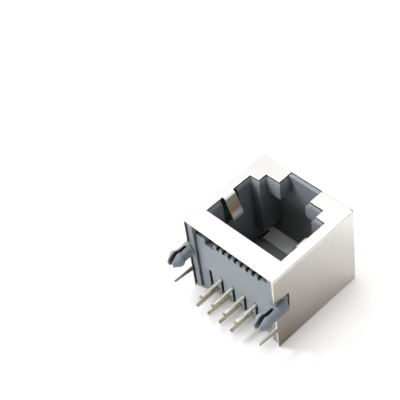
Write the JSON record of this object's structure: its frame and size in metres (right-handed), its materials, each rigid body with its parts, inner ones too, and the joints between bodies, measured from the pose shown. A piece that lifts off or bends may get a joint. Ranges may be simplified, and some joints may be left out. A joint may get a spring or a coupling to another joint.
{
  "type": "rj45 board jack",
  "caption": "Shielded modular jack for a circuit board, stepped plug opening, split board pegs, ground tabs and two staggered rows of solder tails.",
  "frame": {"origin": "centre of the bounding box's base, on the plane of the shield's rear edges, which the jack stands on", "axes": "+Z from the rear face out through the plug opening, -Y from the jack down into the circuit board, +X to the right seen from the plug side with the board below"},
  "size_m": [0.0176, 0.018, 0.0132],
  "materials": {
    "shield": "satin nickel plated sheet",
    "housing": "fine matt moulded, pale blue grey",
    "carrier": "fine matt moulded, pale blue grey",
    "contact": "plated, tin on the tails"
  },
  "bodies": {
    "root": {"shield": "shield", "housing": "housing", "contact_carrier": "carrier", "contact_1": "contact", "contact_2": "contact", "contact_3": "contact", "contact_4": "contact", "contact_5": "contact", "contact_6": "contact", "contact_7": "contact", "contact_8": "contact"}
  },
  "joints": []
}
